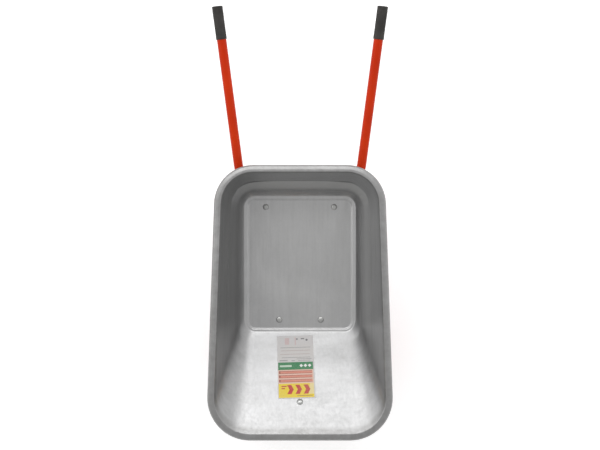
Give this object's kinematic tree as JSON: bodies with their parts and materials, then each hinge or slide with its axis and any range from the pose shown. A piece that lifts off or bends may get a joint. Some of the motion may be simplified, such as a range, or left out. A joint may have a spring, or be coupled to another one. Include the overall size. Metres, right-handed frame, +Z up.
{
  "type": "wheelbarrow",
  "caption": "Builder's wheelbarrow: pressed steel tray bolted to one bent tube frame with two legs, cross brace, and pneumatic wheels on a fixed axle under the front slope.",
  "frame": {"origin": "on the ground, at the middle of the whole barrow's outline", "axes": "+Z up, +Y from the wheels to the grips, X across, mirror plane at X = 0"},
  "size_m": [0.6296, 1.462, 0.6575],
  "materials": {
    "galvanised_tray": "dull galvanised sheet",
    "label_film": null,
    "frame_paint": "glossy orange-red paint",
    "grip_rubber": "matt, fine rings",
    "zinc_fasteners": "bright zinc plating",
    "axle_steel": "turned steel, lightly greased",
    "bearing_steel": "ground and polished",
    "rim_paint": "glossy orange-red paint",
    "tyre_rubber": "matt moulded rubber",
    "black_rubber": "smooth",
    "cap_plastic": "smooth"
  },
  "bodies": {
    "frame": {"tray": "galvanised_tray", "label": "label_film", "frame_tube": "frame_paint", "leg_left": "frame_paint", "leg_right": "frame_paint", "foot_left": "frame_paint", "foot_right": "frame_paint", "leg_brace": "frame_paint", "axle_bracket_left": "frame_paint", "axle_bracket_right": "frame_paint", "grip_left": "grip_rubber", "grip_right": "grip_rubber", "tray_bolts": "zinc_fasteners", "tray_washers": "zinc_fasteners", "tray_nuts": "zinc_fasteners", "bracket_bolts": "zinc_fasteners", "bracket_washers": "zinc_fasteners", "bracket_nuts": "zinc_fasteners", "axle": "axle_steel", "axle_spacers": "axle_steel", "hub_sleeves": "axle_steel", "axle_washers": "axle_steel", "split_pins": "axle_steel", "bearing_inner_races": "bearing_steel"},
    "wheel_left": {"tyre_left": "tyre_rubber", "inner_tube_left": "black_rubber", "rim_outer_half_left": "rim_paint", "rim_inner_half_left": "rim_paint", "hub_left": "axle_steel", "rim_bolts_left": "zinc_fasteners", "rim_nuts_left": "zinc_fasteners", "bearing_outer_races_left": "bearing_steel", "bearing_seals_left": "black_rubber", "valve_stem_left": "black_rubber", "valve_cap_left": "cap_plastic"},
    "wheel_right": {"tyre_right": "tyre_rubber", "inner_tube_right": "black_rubber", "rim_outer_half_right": "rim_paint", "rim_inner_half_right": "rim_paint", "hub_right": "axle_steel", "rim_bolts_right": "zinc_fasteners", "rim_nuts_right": "zinc_fasteners", "bearing_outer_races_right": "bearing_steel", "bearing_seals_right": "black_rubber", "valve_stem_right": "black_rubber", "valve_cap_right": "cap_plastic"},
    "balls_left": {"bearing_balls_left": "bearing_steel"},
    "balls_right": {"bearing_balls_right": "bearing_steel"}
  },
  "joints": [
    {"name": "wheel_left_spin", "type": "hinge", "parent": "frame", "child": "wheel_left", "pos_m": [-0.229, -0.52, 0.195], "axis": [1, 0, 0], "continuous": true},
    {"name": "wheel_right_spin", "type": "hinge", "parent": "frame", "child": "wheel_right", "pos_m": [0.229, -0.52, 0.195], "axis": [1, 0, 0], "continuous": true},
    {"name": "balls_left_spin", "type": "hinge", "parent": "frame", "child": "balls_left", "pos_m": [-0.229, -0.52, 0.195], "axis": [1, 0, 0], "continuous": true},
    {"name": "balls_right_spin", "type": "hinge", "parent": "frame", "child": "balls_right", "pos_m": [0.229, -0.52, 0.195], "axis": [1, 0, 0], "continuous": true}
  ],
  "couplings": [
    {"joint": "balls_left_spin", "follows": "wheel_left_spin", "ratio": 0.4},
    {"joint": "balls_right_spin", "follows": "wheel_right_spin", "ratio": 0.4}
  ]
}
